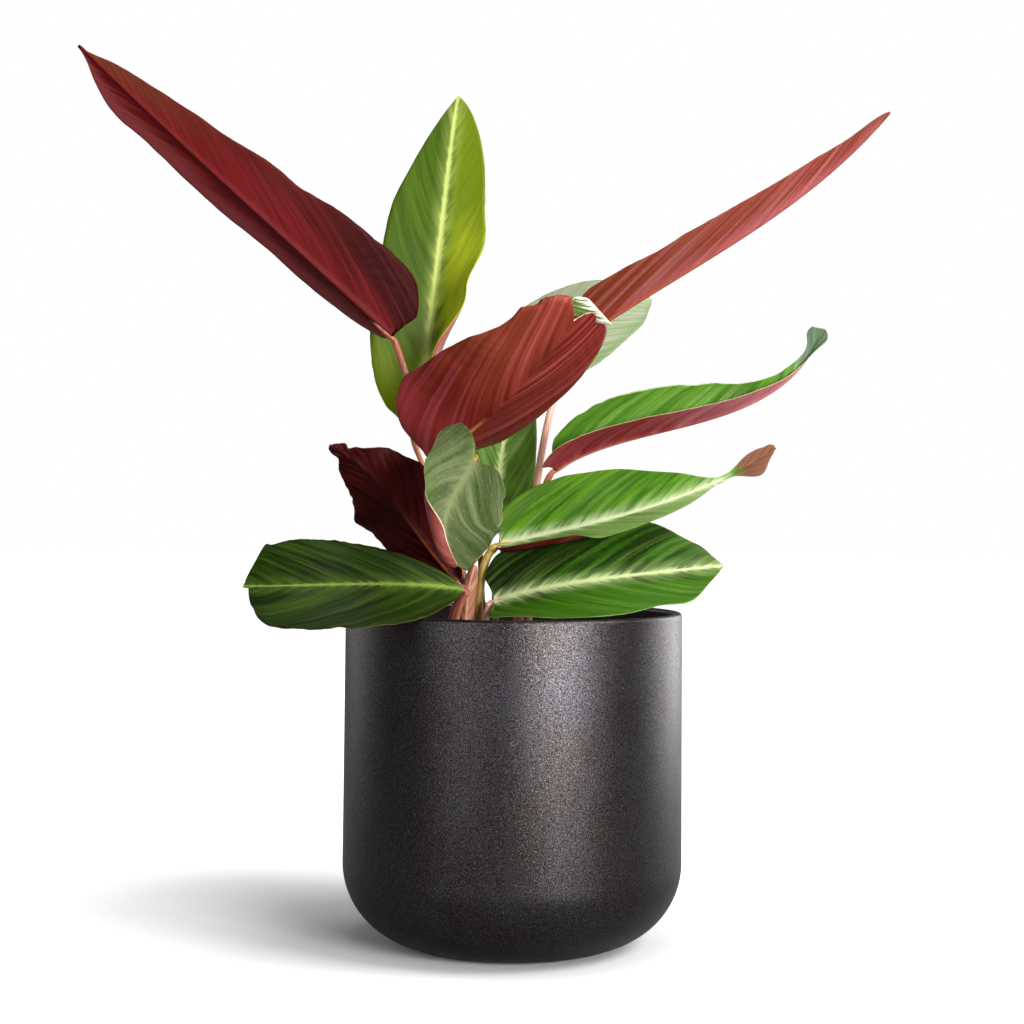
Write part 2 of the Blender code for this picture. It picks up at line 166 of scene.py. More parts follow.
paper = Finish("white_sweep")
oval = paper.node("Mapping", settings={"vector_type": "TEXTURE"}, Vector=paper.place(),
                  Location=(-0.03, 0.01, 0.0), Rotation=(0.0, 0.0, math.radians(150)),
                  Scale=(0.28, 0.15, 1.0))
distance = paper.node("VectorMath", "Value", settings={"operation": "LENGTH"}, i0=oval)
rise = paper.node("MapRange", Value=distance, From_Min=0.3, From_Max=1.3)
far_glow = paper.node("Emission", Color=(1.0, 1.0, 1.0), Strength=rise)
near_paper = paper.node("BsdfDiffuse", Color=(0.66, 0.66, 0.66))
as_seen = paper.node("AddShader", i0=near_paper, i1=far_glow)
as_lit = paper.node("BsdfDiffuse", Color=(0.24, 0.24, 0.24))
sweep = paper.node("MixShader", i0=paper.node("LightPath", "Is Camera Ray"), i1=as_lit,
                   i2=as_seen)
paper.tree.links.new(sweep, paper.tree.nodes["Material Output"].inputs["Surface"])
paper.tree.nodes.remove(paper.shader)
floor_mesh = bpy.data.meshes.new("floor")
bm = bmesh.new()
bmesh.ops.create_grid(bm, x_segments=1, y_segments=1, size=FLOOR_SIZE)
bm.to_mesh(floor_mesh)
bm.free()
floor = bpy.data.objects.new("floor", floor_mesh)
floor_mesh.materials.append(paper.material)
bpy.context.scene.collection.objects.link(floor)


# The cover pot: slip-cast ceramic with a straight wall, a rounded bottom corner and a
# softly rounded rim, glazed outside in charcoal black with a fine metallic grain and
# matt inside, where the inner wall's near-black colour is painted shade.  Its floor has no hole.
MM = 0.001
WELD = 0.00001
POT_HEIGHT = 146.6 * MM
POT_RIM_RADIUS = 75.0 * MM
POT_WAIST_RADIUS = 75.6 * MM
POT_CORNER = 35.5 * MM
POT_WALL = 4.0 * MM
POT_FLOOR = 6.0 * MM
POT_LIP = 1.5 * MM
POT_STEPS = 192


def ink(red, green, blue):
    """A colour given as it looks on a screen, 0 to 255, as the shader takes it."""
    def light(value):
        value /= 255
        return value / 12.92 if value <= 0.04045 else ((value + 0.055) / 1.055) ** 2.4
    return (light(red), light(green), light(blue))


def arc(centre_r, centre_z, radius, start, end, steps):
    """Points on an arc in the (r, z) plane, from one angle to the other in degrees."""
    points = []
    for i in range(steps + 1):
        a = math.radians(start + (end - start) * i / steps)
        points.append((centre_r + radius * math.cos(a), centre_z + radius * math.sin(a)))
    return points


def show(name, bm, materials, smooth=True):
    """Turn a bmesh into a piece that rides on the plant's one body."""
    mesh = bpy.data.meshes.new(name)
    bm.to_mesh(mesh)
    bm.free()
    if smooth:
        mesh.shade_smooth()
    for material in materials:
        mesh.materials.append(material)
    piece = bpy.data.objects.new(name, mesh)
    bpy.context.scene.collection.objects.link(piece)
    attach(piece, "root")
    return piece


def turned(profile, steps):
    """Spin a profile of (r, z) points, top of the axis to its foot, about the Z axis."""
    bm = bmesh.new()
    verts = [bm.verts.new((r, 0, z)) for r, z in profile]
    edges = [bm.edges.new(pair) for pair in zip(verts, verts[1:])]
    bmesh.ops.spin(bm, geom=verts + edges, cent=(0, 0, 0), axis=(0, 0, 1),
                   angle=2 * math.pi, steps=steps, use_merge=True)
    bmesh.ops.remove_doubles(bm, verts=bm.verts, dist=WELD)
    bmesh.ops.recalc_face_normals(bm, faces=bm.faces)
    return bm


lip_height = POT_HEIGHT - POT_LIP
inner_rim = POT_RIM_RADIUS - POT_WALL
inner_corner = POT_CORNER - POT_WALL
inner_foot = POT_WAIST_RADIUS - POT_WALL - inner_corner
foot_radius = POT_WAIST_RADIUS - POT_CORNER
pot_profile = [(0, POT_FLOOR), (inner_foot, POT_FLOOR)]
pot_profile += arc(inner_foot, POT_FLOOR + inner_corner, inner_corner, -80, 0, 12)
pot_profile += arc(inner_rim + POT_LIP, lip_height, POT_LIP, 180, 90, 5)
pot_profile += arc(POT_RIM_RADIUS - POT_LIP, lip_height, POT_LIP, 90, 0, 5)
pot_profile += arc(foot_radius, POT_CORNER, POT_CORNER, 0, -85, 24)
pot_profile += [(foot_radius, 0), (0, 0)]

glaze = Finish("charcoal_glaze", Metallic=1.0)
at = glaze.place()
grain = glaze.noise(at, (2300, 2300, 2300), seed=1.0, detail=1.0, rough=0.6)
clouds = glaze.noise(at, (40, 40, 25), seed=5.0, detail=3.0, rough=0.6)
flakes = glaze.node("TexVoronoi", "Distance", Vector=at, Scale=420.0)
body = glaze.mix(glaze.step(clouds, 0.35, 0.65), ink(60, 55, 53), ink(66, 65, 69))
body = glaze.mix(glaze.step(grain, 0.36, 0.54), ink(35, 29, 26), body)
body = glaze.mix(glaze.step(grain, 0.52, 0.70), body, ink(90, 87, 91))
glaze.colour(glaze.mix(glaze.step(flakes, 0.05, 0.12, 0.45, 0.0), body, ink(166, 160, 158)))
glaze.gloss(glaze.step(grain, 0.35, 0.65, 0.42, 0.33))
glaze.bump(grain, 0.00020, 0.6)
# The inner wall is matt, and its near-black colour is painted shade.
matt = Finish("matt_inner_glaze", Roughness=0.8, Specular_IOR_Level=0.2)
matt.colour(matt.mix(matt.noise(matt.place(), (500, 500, 500), seed=3.0),
                     ink(20, 16, 15), ink(30, 25, 23)))
pot_shape = turned(pot_profile, POT_STEPS)
for face in pot_shape.faces:
    middle = face.calc_center_median()
    faces_in = middle.xy.dot(face.normal.xy) < 0
    if faces_in and POT_FLOOR < middle.z < lip_height:
        face.material_index = 1
pot = show("cover_pot", pot_shape, [glaze.material, matt.material])
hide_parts("planter")


# The grow pot: thin black polypropylene with a stiff band around its top, loose inside
# the cover pot.  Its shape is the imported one, with the facets' edges smoothed.
plastic = Finish("black_polypropylene")
plastic.colour(plastic.mix(plastic.noise(plastic.place(), (60, 60, 400), seed=3.0),
                           ink(22, 22, 23), ink(38, 37, 37)))
plastic.gloss(plastic.step(plastic.noise(plastic.place(), (300, 300, 300), seed=2.0),
                           0.3, 0.7, 0.42, 0.62))
bm = bmesh.new()
bm.from_mesh(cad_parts["grow_pot"].data)
bmesh.ops.remove_doubles(bm, verts=bm.verts, dist=WELD)
for face in bm.faces:
    face.material_index = 0
inner_pot = show("nursery_pot", bm, [plastic.material])
inner_pot.data.set_sharp_from_angle(angle=math.radians(40))
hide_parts("grow_pot")


# The potting mix: dark, damp peat that fills the grow pot to about 22 mm below the cover
# pot's rim and lies a little higher around the stems than at the wall.
SOIL_LEVEL = 125.0 * MM
SOIL_RADIUS = 59.4 * MM
SOIL_DEPTH = 30.0 * MM
SOIL_TAPER = 0.91
SOIL_CELLS = 110
SOIL_SAG = 2.5 * MM
CROWN = (-0.013, -0.004)
HEAP_HEIGHT = 3.0 * MM
HEAP_SPREAD = 0.035
LUMP_HEIGHT = 1.3 * MM
LUMPS_PER_METRE = 150


def soil_height(x, y):
    from_crown = (x - CROWN[0]) ** 2 + (y - CROWN[1]) ** 2
    heap = HEAP_HEIGHT * math.exp(-from_crown / HEAP_SPREAD ** 2)
    lumps = noise.fractal((x * LUMPS_PER_METRE, y * LUMPS_PER_METRE, 3.0), 0.6, 2.1, 4)
    return SOIL_LEVEL - SOIL_SAG + heap + LUMP_HEIGHT * lumps


peat = Finish("peat", Roughness=0.95)
at = peat.place()
crumbs = peat.noise(at, (900, 900, 900), seed=1.0, detail=4.0, rough=0.7)
damp = peat.noise(at, (60, 60, 60), seed=4.0, detail=2.0)
peat.colour(peat.mix(peat.step(crumbs, 0.35, 0.75),
                     peat.mix(damp, ink(22, 14, 10), ink(38, 25, 17)), ink(78, 54, 38)))
peat.bump(crumbs, 0.0006)
bm = bmesh.new()
bmesh.ops.create_grid(bm, x_segments=SOIL_CELLS, y_segments=SOIL_CELLS, size=1.0)
for vert in bm.verts:
    across, deep = vert.co.x, vert.co.y
    x = SOIL_RADIUS * across * math.sqrt(1 - deep * deep / 2)
    y = SOIL_RADIUS * deep * math.sqrt(1 - across * across / 2)
    vert.co = (x, y, soil_height(x, y))
rim_edges = [edge for edge in bm.edges if edge.is_boundary]
skirt = bmesh.ops.extrude_edge_only(bm, edges=rim_edges)["geom"]
for vert in [item for item in skirt if isinstance(item, bmesh.types.BMVert)]:
    vert.co = (vert.co.x * SOIL_TAPER, vert.co.y * SOIL_TAPER, SOIL_LEVEL - SOIL_DEPTH)
bmesh.ops.holes_fill(bm, edges=[edge for edge in bm.edges if edge.is_boundary], sides=0)
bmesh.ops.recalc_face_normals(bm, faces=bm.faces)
soil = show("potting_mix", bm, [peat.material])
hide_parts("soil")


# The leaf blades: each is one thin, springy blade on a curved midrib, satin green above
# and red beneath, with fine side veins that run out and forward from the midrib.  It grows
# out of the end of its own stem.
BLADE_THICKNESS = 0.34 * MM
BLADE_BASE = 1.2 * MM
BLADE_END = 0.6 * MM
MARGIN_THINNING = 0.35
RIB_DEPTH = 1.5 * MM
RIB_REACH = 1.1 * MM
RIB_TAPER = 0.8
LOBE_LENGTH = 2.5
NOTCH_REACH = 0.45
ROLL_BAND = 0.55
RIPPLES = 5
RIPPLE_LAG = 0.37
FRILLS = 9
PLEAT_LENGTH = 0.0075
MAP_UNIT = 0.1
LEAF_SHADE = 0.20
SIDE_COLUMNS = 20
COLUMN_CROWDING = 1.5
ROWS = 110
LENGTH_STEPS = 40

# One side of a blade.  Its width, lobe and notch are in mm.  It rounds out over its base,
# with ease, and narrows late with a high belly and bluntly with a low tip, down to end.
# It folds at the midrib, curls over its width and rolls from roll_from on, in degrees from
# base to tip, more tightly with a high tight.  Its lobe reaches back at the base, outside
# lobe_from, and lobe_full and lobe_rise round it.  Its notch reaches forward at the tip.
Half = namedtuple("Half", "width base belly tip fold curl roll lobe end ease tight roll_from "
                          "lobe_from lobe_full lobe_rise notch",
                  defaults=((5,), (0,), 0.0, 0.0, 1.0, 1.0, (0.45,), 0.3, 2.0, 2.0, 0.0))
# A blade: points on its midrib in mm and the ways its upper side faces, from base to tip;
# a neck is its place, depth and length, and a wave its side, place, height in mm and length.
Leaf = namedtuple("Leaf", "name midrib facing left right neck ripple veins pleat ragged waves",
                  defaults=(None, 0.0, (1.0, 0.8, 0.4), 0.15, 0.3, ()))


def through(points, t):
    """Point at t on the smooth curve through a few points, spaced by their distances."""
    knots = [0.0]
    for a, b in zip(points, points[1:]):
        knots.append(knots[-1] + (Vector(b) - Vector(a)).length)
    total = knots[-1]
    spot = Vector((0, 0, 0))
    for i, point in enumerate(points):
        weight = 1.0
        for j in range(len(points)):
            if j != i:
                weight *= (t * total - knots[j]) / (knots[i] - knots[j])
        spot += weight * Vector(point)
    return spot


def spread(values, t):
    """Value at t of a short list spread evenly from base to tip, with smooth steps."""
    if len(values) == 1:
        return values[0]
    spot = min(max(t, 0.0), 1.0) * (len(values) - 1)
    i = min(int(spot), len(values) - 2)
    part = spot - i
    part = part * part * (3 - 2 * part)
    return values[i] * (1 - part) + values[i + 1] * part


def half_width(half, neck, t, waves):
    rounding = math.sqrt(1 - (1 - min(t / half.base, 1)) ** 2) ** half.ease
    taper = half.end + (1 - half.end) * max(1 - t ** half.belly, 0) ** half.tip
    width = half.width * MM * rounding * taper
    if neck:
        where, depth, length = neck
        width *= 1 - depth * math.exp(-((t - where) / length) ** 2)
    for where, height, length in waves:
        width += height * MM * math.exp(-((t - where) / length) ** 2)
    return max(width, BLADE_BASE + (BLADE_END - BLADE_BASE) * t)


def side_profile(half, t, width, shares):
    """How far out and up each share of a side's width lies, walking out from the midrib."""
    places = []
    out = up = reached = 0.0
    for share in shares:
        for k in range(2):
            middle = reached + (share - reached) * (k + 0.5) / 2
            rolled_part = max(middle - spread(half.roll_from, t), 0) / ROLL_BAND
            angle = math.radians(spread(half.fold, t) + spread(half.curl, t) * middle
                                 + spread(half.roll, t) * min(rolled_part * half.tight, 1))
            out += math.cos(angle) * (share - reached) / 2 * width
            up += math.sin(angle) * (share - reached) / 2 * width
        reached = share
        places.append((out, up))
    return places


def blade_row(leaf, u, length, phase, shares):
    """The midrib's place, its run, its upper side and both sides' profiles at one row."""
    t = 0.5 * u + 0.25 * (1 - math.cos(math.pi * u))
    centre = through(leaf.midrib, t) * MM
    along = (through(leaf.midrib, t + 0.001) - through(leaf.midrib, t - 0.001)).normalized()
    facing = spread([Vector(f) for f in leaf.facing], t)
    upward = (facing - facing.dot(along) * along).normalized()
    sides = {}
    for sign, half in ((-1, leaf.left), (1, leaf.right)):
        own = [wave[1:] for wave in leaf.waves if wave[0] == sign]
        width = half_width(half, leaf.neck, t, own)
        spot = (FRILLS * t * length / MAP_UNIT, sign * 3.0, phase)
        frill = 1 + leaf.ragged / 20 * noise.fractal(spot, 0.8, 2.0, 3)
        sides[sign] = (half, width, side_profile(half, t, width * frill, shares))
    return t, centre, along, upward, sides


def lay_blade(leaf, piece_name, node, upper, under, thickness=BLADE_THICKNESS,
              rib=RIB_DEPTH):
    """Shape a grid into the blade, map it along its veins and give it its thickness."""
    shares = [(i / SIDE_COLUMNS) ** COLUMN_CROWDING for i in range(1, SIDE_COLUMNS + 1)]
    stops = [through(leaf.midrib, i / LENGTH_STEPS) for i in range(LENGTH_STEPS + 1)]
    length = sum((b - a).length for a, b in zip(stops, stops[1:])) * MM
    phase = len(leaf.name) + 0.7 * leaf.midrib[0][0]
    lean, bow, forward = leaf.veins
    rows = {}
    bm = bmesh.new()
    bmesh.ops.create_grid(bm, x_segments=2 * SIDE_COLUMNS, y_segments=ROWS, size=1.0)
    mapped = {}
    for vert in bm.verts:
        column = round(vert.co.x * SIDE_COLUMNS)
        row = round((vert.co.y + 1) / 2 * ROWS)
        if row not in rows:
            rows[row] = blade_row(leaf, row / ROWS, length, phase, shares)
        t, centre, along, upward, sides = rows[row]
        sign = -1 if column < 0 else 1
        half, width, places = sides[sign]
        share = shares[abs(column) - 1] if column else 0.0
        out, up = places[abs(column) - 1] if column else (0.0, 0.0)
        wave = math.sin(2 * math.pi * (RIPPLES * t + (RIPPLE_LAG if sign < 0 else 0)))
        up += leaf.ripple * MM * share * share * wave * math.sqrt(max(math.sin(math.pi * t), 0))
        reach = share * width
        vein = t * length - (lean + bow * share + forward * t) * reach
        swell = math.sin(2 * math.pi * vein / PLEAT_LENGTH + phase)
        up += leaf.pleat * MM * share * (1 - share) * 4 * swell
        outer = max(share - half.lobe_from, 0) / (1 - half.lobe_from)
        fullness = min(half.lobe_full * width / (half.width * MM), 1) ** half.lobe_rise
        near_base = max(1 - t / (LOBE_LENGTH * half.base), 0) ** 2
        back = half.lobe * MM * outer * fullness * near_base
        inner = 1 - (1 - min(share / NOTCH_REACH, 1)) ** 2
        fall = 1 - 0.9 * max(share - NOTCH_REACH, 0)
        ahead = half.notch * MM * inner * fall * t ** 8
        sideways = along.cross(upward) * sign
        vert.co = centre + sideways * out + upward * (up + thickness / 2) + along * (ahead - back)
        rim = 1 - MARGIN_THINNING * share ** 4
        ridge = math.exp(-(reach / RIB_REACH) ** 2) * (1 - RIB_TAPER * t)
        mapped[vert.index] = (0.5 + 0.5 * sign * share, t, sign * reach / MAP_UNIT,
                              vein / MAP_UNIT,
                              (thickness * rim + rib * ridge) / (thickness + rib))
    blade_uv = bm.loops.layers.uv.new("blade")
    veins_uv = bm.loops.layers.uv.new("veins")
    weights = bm.verts.layers.deform.new()
    for vert in bm.verts:
        vert[weights][0] = mapped[vert.index][4]
    for face in bm.faces:
        for loop in face.loops:
            values = mapped[loop.vert.index]
            loop[blade_uv].uv = values[0:2]
            loop[veins_uv].uv = values[2:4]
    piece = show(piece_name, bm, [upper.material, under.material])
    piece.vertex_groups.new(name="thickness")
    solid = piece.modifiers.new("thickness", "SOLIDIFY")
    solid.thickness = thickness + rib
    solid.offset = -1.0
    solid.vertex_group = "thickness"
    solid.material_offset = 1
    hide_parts(node)


def leaf_side(name, body, mottle, streak, streaks, rib, rib_width, feather=1.0, halo=0.0,
              edge=None, tints=(), seed=0.0, gloss=0.42, shine=0.08, fine=0.3, spacing=16.0,
              speck=0.0, rib_end=None, tip=None):
    """Finish of one side of a blade: body colour mottled and streaked along the veins, a
    midrib with feathered edges, a worn margin, and tints over parts of the blade.  A tint
    is its colour, its limits across and along the blade, and its strength; an edge is its
    colour and share of the width; rib_end is where along the blade the midrib fades; a tip
    is the colour of the dried end and where along the blade it starts and is complete."""
    skin = Finish(name, Specular_IOR_Level=shine)
    veins = skin.uv("veins")
    blade = skin.uv("blade")
    from_rib = skin.node("SeparateXYZ", 0, Vector=veins)
    across = skin.node("SeparateXYZ", 0, Vector=blade)
    along = skin.node("SeparateXYZ", 1, Vector=blade)
    share = skin.reckon("ABSOLUTE", skin.node("MapRange", Value=across, From_Min=0.5,
                                              From_Max=1.0, settings={"clamp": False}))
    reach = skin.reckon("MULTIPLY", skin.reckon("ABSOLUTE", from_rib), 100.0)
    # The body: mottled patches, then tints whose limits drift with the patches.
    patches = skin.noise(veins, (7, 14, 1), seed, detail=3.0, rough=0.6)
    colour = skin.mix(skin.step(patches, 0.38, 0.62), body, mottle)
    drift = skin.reckon("MULTIPLY", skin.reckon("SUBTRACT", patches, 0.5), 0.35)
    drift_across = skin.reckon("ADD", across, drift)
    drift_along = skin.reckon("ADD", along, drift)
    for tint, sideways, lengthwise, strength in tints:
        mask = strength
        if sideways:
            mask = skin.reckon("MULTIPLY", skin.step(drift_across, *sideways), mask)
        if lengthwise:
            mask = skin.reckon("MULTIPLY", skin.step(drift_along, *lengthwise), mask)
        colour = skin.mix(mask, colour, tint)
    # Broad streaks along the side veins, fine lines between them, and a grain.
    dark = skin.mix(0.55, colour, tuple(0.2 * part for part in body))
    broad = skin.noise(veins, (2.5, spacing, 1), seed + 4, detail=2.0, rough=0.6)
    fade = skin.reckon("MULTIPLY", skin.step(share, 0.3, 1.0, 1.0, 0.5),
                       skin.step(share, 0.0, 0.3, 0.35, 1.0))
    drawn = skin.reckon("MULTIPLY", skin.step(broad, 0.44, 0.72, 0.0, streaks), fade)
    colour = skin.mix(drawn, colour, streak)
    colour = skin.mix(skin.step(broad, 0.28, 0.48, 0.6 * streaks, 0.0), colour, dark)
    lines = skin.noise(veins, (2.5, 110, 1), seed + 8, detail=2.0, rough=0.6)
    colour = skin.mix(skin.step(lines, 0.45, 0.75, 0.0, 0.30 * fine), colour, streak)
    colour = skin.mix(skin.step(lines, 0.25, 0.50, 0.8 * fine, 0.0), colour, dark)
    grain = skin.noise(veins, (150, 190, 1), seed + 3, detail=2.0)
    colour = skin.mix(skin.step(grain, 0.30, 0.50, 0.30, 0.0), colour, dark)
    if speck:
        colour = skin.mix(skin.step(grain, 0.52, 0.72, 0.0, speck), colour, streak)
    # The midrib: a halo, a comb of short strokes along the side veins, and its own line.
    frayed = skin.noise(veins, (3, 40, 1), seed + 2, detail=3.0, rough=0.6)
    width = skin.step(along, 0.0, 1.0, rib_width, 0.35 * rib_width)
    within = skin.reckon("DIVIDE", reach, width)
    shown = skin.step(along, *rib_end, 1.0, 0.0) if rib_end else 1.0
    if halo:
        glow = skin.reckon("MULTIPLY", skin.step(reach, 0.0, 7.0, halo, 0.0),
                           skin.step(patches, 0.35, 0.65, 0.5, 1.0))
        colour = skin.mix(skin.reckon("MULTIPLY", glow, shown), colour, rib)
    comb = skin.reckon("MULTIPLY", skin.step(frayed, 0.40, 0.62),
                       skin.step(within, 0.5, 1.5 + 2.5 * feather, 0.75, 0.0))
    colour = skin.mix(skin.reckon("MULTIPLY", comb, shown), colour, rib)
    line = skin.reckon("MULTIPLY", skin.step(within, 0.2, 1.6, 0.95, 0.0), shown)
    colour = skin.mix(line, colour, rib)
    # The worn margin and the dried tip.
    if edge:
        worn = skin.noise(blade, (3, 9, 1), seed + 6, detail=2.0)
        worn = skin.reckon("MULTIPLY", skin.reckon("SUBTRACT", worn, 0.5), 0.06)
        margin = skin.step(skin.reckon("ADD", share, worn), 1.0 - edge[1], 1.0 - 0.4 * edge[1],
                           0.0, 0.9)
        colour = skin.mix(margin, colour, edge[0])
    if tip:
        end = skin.reckon("ADD", along, skin.reckon("MULTIPLY", drift, 0.2))
        colour = skin.mix(skin.step(end, tip[1], tip[2], 0.0, 0.9), colour, tip[0])
    skin.colour(skin.mix(LEAF_SHADE, colour, (0.0, 0.0, 0.0)))
    skin.gloss(skin.step(patches, 0.3, 0.7, gloss - 0.05, gloss + 0.08))
    skin.bump(lines, 0.00005, 0.7)
    return skin


def grow_leaf(leaf, upper, under):
    """Finish both sides of a leaf and lay its blade."""
    node = "leaf_" + leaf.name
    lay_blade(leaf, "blade_" + leaf.name, node,
              leaf_side(leaf.name + "_upper", **upper), leaf_side(leaf.name + "_under", **under))


# The tall leaf at the left leans out over the rim and shows its dark wine-red underside.
left_tall = Leaf(
    "left_tall",
    midrib=[(-56, 0, 269), (-83.5, -10, 293.5), (-129, -25, 334), (-186, -45, 386.5)],
    facing=[(0.46, 0.74, 0.49), (0.37, 0.85, 0.40), (0.23, 0.94, 0.25)],
    left=Half(27, 0.10, 1.4, 0.75, fold=(42, 33, 24, 18), curl=(3,), lobe=6),
    right=Half(20.5, 0.12, 1.8, 0.55, fold=(30, 22, 15, 10), curl=(3,), lobe=3),
    veins=(2.0, 0.8, 0.6), ragged=0.5,
    waves=((-1, 0.13, 1.3, 0.05), (-1, 0.26, 2.4, 0.10), (-1, 0.50, 1.2, 0.06),
           (-1, 0.97, -1.2, 0.04), (1, 0.34, -3.0, 0.12), (1, 0.84, 3.0, 0.07),
           (1, 0.97, -2.0, 0.04)))
grow_leaf(
    left_tall,
    upper=dict(body=ink(46, 84, 16), mottle=ink(66, 112, 22), streak=ink(150, 180, 100),
               streaks=0.4, rib=ink(176, 196, 110), rib_width=1.4, seed=1.3),
    under=dict(body=ink(94, 17, 18), mottle=ink(106, 21, 22), streak=ink(136, 44, 50),
               streaks=0.28, rib=ink(62, 11, 13), rib_width=0.40, feather=0.1, spacing=24.0,
               seed=2.1, fine=0.4, shine=0.04,
               tints=[(ink(72, 19, 12), (0.40, 0.05), None, 0.6),
                      (ink(42, 7, 5), (0.54, 0.15), (0.58, 0.10), 0.95),
                      (ink(98, 46, 28), (0.5, 0.2), (0.55, 0.92), 0.85),
                      # Painted light: the outer right strip's pink colour is lightened against the
                      # shade of its fold.
                      (ink(166, 78, 80), (0.58, 0.9), None, 0.6)]))

# The upright leaf at the back shows its bright upper side, with a broad pale midrib, and a
# painted glow of yellow light shining through its right half towards the base.
back_upright = Leaf(
    "back_upright",
    midrib=[(-47.5, 30, 228.5), (-39.8, 34, 280), (-34.3, 40, 335), (-28.5, 50, 388.5)],
    facing=[(0.1, -1, 0.1), (0, -1, 0.1)],
    left=Half(28, 0.36, 3.3, 1.0, fold=(10, 8, 5), lobe=4),
    right=Half(33, 0.36, 3.0, 0.7, fold=(60, 45, 28, 10, 5, 5),
               curl=(85, 80, 60, 20, 10, 5), lobe=3),
    waves=((1, 0.60, -6.0, 0.25), (-1, 0.62, 3.0, 0.15), (-1, 0.30, 1.0, 0.12),
           (-1, 0.03, -3.5, 0.06)))
grow_leaf(
    back_upright,
    upper=dict(body=ink(52, 78, 7), mottle=ink(66, 92, 10), streak=ink(140, 160, 40), streaks=0.10,
               rib=ink(192, 204, 112), rib_width=2.0, feather=0.4, halo=0.35, fine=0.25,
               spacing=12.0, seed=3.7,
               tints=[(ink(108, 128, 22), (0.50, 0.62), None, 0.9),
                      # Painted light: bright yellow where light shines through the curled right
                      # half near its base.
                      (ink(224, 232, 52), (0.50, 0.72), (0.72, 0.20), 0.95),
                      (ink(132, 152, 8), None, (0.38, 0.0), 0.85)]),
    under=dict(body=ink(188, 120, 108), mottle=ink(176, 96, 92), streak=ink(220, 170, 160),
               streaks=0.5, rib=ink(206, 150, 130), rib_width=0.8, feather=0.2, seed=4.4))

# The big red leaf in the middle: its tip rolls over and shows a little green inside.
centre_red = Leaf(
    "centre_red",
    midrib=[(-37, -20, 214), (-18, -45, 226), (10, -72, 252), (23, -82, 268)],
    facing=[(-0.36, 0.84, 0.40)],
    left=Half(27, 0.22, 6, 0.35, fold=(20, 20, 20, 15, 10), curl=(10, 5, 0, 5, 15), lobe=6,
              end=0.50, notch=6),
    right=Half(36.5, 0.30, 2.0, 1.0, fold=(25, 25, 20, 12, 5), curl=(10, 15, 15, 10, 0),
               roll=(0,) * 18 + (178,) * 3, roll_from=(1,) * 18 + (0.95, 0.62, 0.13),
               tight=4.0, lobe=3, end=0.60, notch=10),
    veins=(0.9, 1.0, 1.6), pleat=0.15, waves=((1, 0.83, -4.5, 0.12), (1, 1.0, 6.5, 0.05)))
grow_leaf(
    centre_red,
    upper=dict(body=ink(70, 106, 34), mottle=ink(110, 146, 64), streak=ink(206, 212, 160),
               streaks=0.6, rib=ink(216, 220, 176), rib_width=1.6, edge=(ink(240, 238, 222), 0.05),
               seed=5.9, tip=(ink(236, 234, 218), 0.985, 0.992)),
    under=dict(body=ink(108, 27, 17), mottle=ink(124, 37, 24), streak=ink(184, 82, 86),
               streaks=0.85, rib=ink(212, 144, 76), rib_width=0.50, feather=0.1, spacing=19.0,
               fine=0.5, seed=6.2, rib_end=(0.28, 0.44),
               tints=[(ink(138, 60, 34), (0.40, 0.65), (0.35, 0.75), 0.8),
                      (ink(196, 70, 74), None, (0.44, 0.05), 0.6),
                      (ink(72, 12, 8), (0.42, 0.1), (0.55, 0.15), 0.6)]))

# The tall leaf at the right is folded along its midrib and shows its red underside.
right_tall = Leaf(
    "right_tall",
    midrib=[(31.5, 20, 272.5), (69, 5, 295.5), (115.8, -10, 324.6), (162.5, -20, 366.5)],
    facing=[(-0.3, 0, 0.9), (-0.35, 0, 0.8)],
    left=Half(19.5, 0.12, 1.9, 0.6, fold=(45,), lobe=3),
    right=Half(18.8, 0.12, 1.9, 0.6, fold=(48,), lobe=3),
    veins=(3.4, 0.5, 0.0), ragged=0.5,
    waves=((-1, 0.46, -2.6, 0.15), (1, 0.30, -1.2, 0.06), (1, 0.88, -1.0, 0.06)))
grow_leaf(
    right_tall,
    upper=dict(body=ink(52, 92, 20), mottle=ink(74, 120, 30), streak=ink(160, 190, 110),
               streaks=0.5, rib=ink(180, 200, 130), rib_width=1.4, seed=7.5),
    under=dict(body=ink(134, 52, 34), mottle=ink(148, 68, 52), streak=ink(202, 132, 130),
               streaks=0.55, rib=ink(186, 96, 62), rib_width=0.5, feather=0.1, spacing=15.0,
               seed=8.8, rib_end=(0.3, 0.6), tip=(ink(118, 58, 46), 0.92, 1.0),
               tints=[(ink(122, 46, 12), (0.55, 0.8), (0.45, 0.05), 0.85),
                      (ink(182, 94, 96), (0.72, 0.52), (0.1, 0.4), 0.75),
                      (ink(124, 52, 44), None, (0.65, 1.0), 0.8)]))

# The pale leaf behind it shows a whitish upper side with fine green streaks.
RED_UNDERSIDE = dict(body=ink(120, 34, 30), mottle=ink(134, 46, 40), streak=ink(176, 84, 84),
                     streaks=0.5, rib=ink(150, 80, 60), rib_width=0.6)
back_pale = Leaf(
    "back_pale",
    midrib=[(-0.5, 45, 255.5), (21, 60, 275), (46, 75, 290), (67.5, 95, 298)],
    facing=[(0.1, -1, 0.5)],
    left=Half(23, 0.35, 3, 0.6, fold=(5,)),
    right=Half(22, 0.35, 3, 0.6, fold=(5,)),
    waves=((1, 0.40, 2.0, 0.22), (1, 0.92, -3.0, 0.10), (-1, 0.92, -1.5, 0.10)))
grow_leaf(
    back_pale,
    upper=dict(body=ink(160, 166, 142), mottle=ink(146, 158, 122), streak=ink(96, 128, 74),
               streaks=0.7, rib=ink(170, 176, 152), rib_width=1.2, spacing=34.0, seed=9.1,
               tints=[(ink(112, 140, 84), (0.8, 1.0), None, 0.7)]),
    under=dict(RED_UNDERSIDE, feather=0.1, seed=10.6))

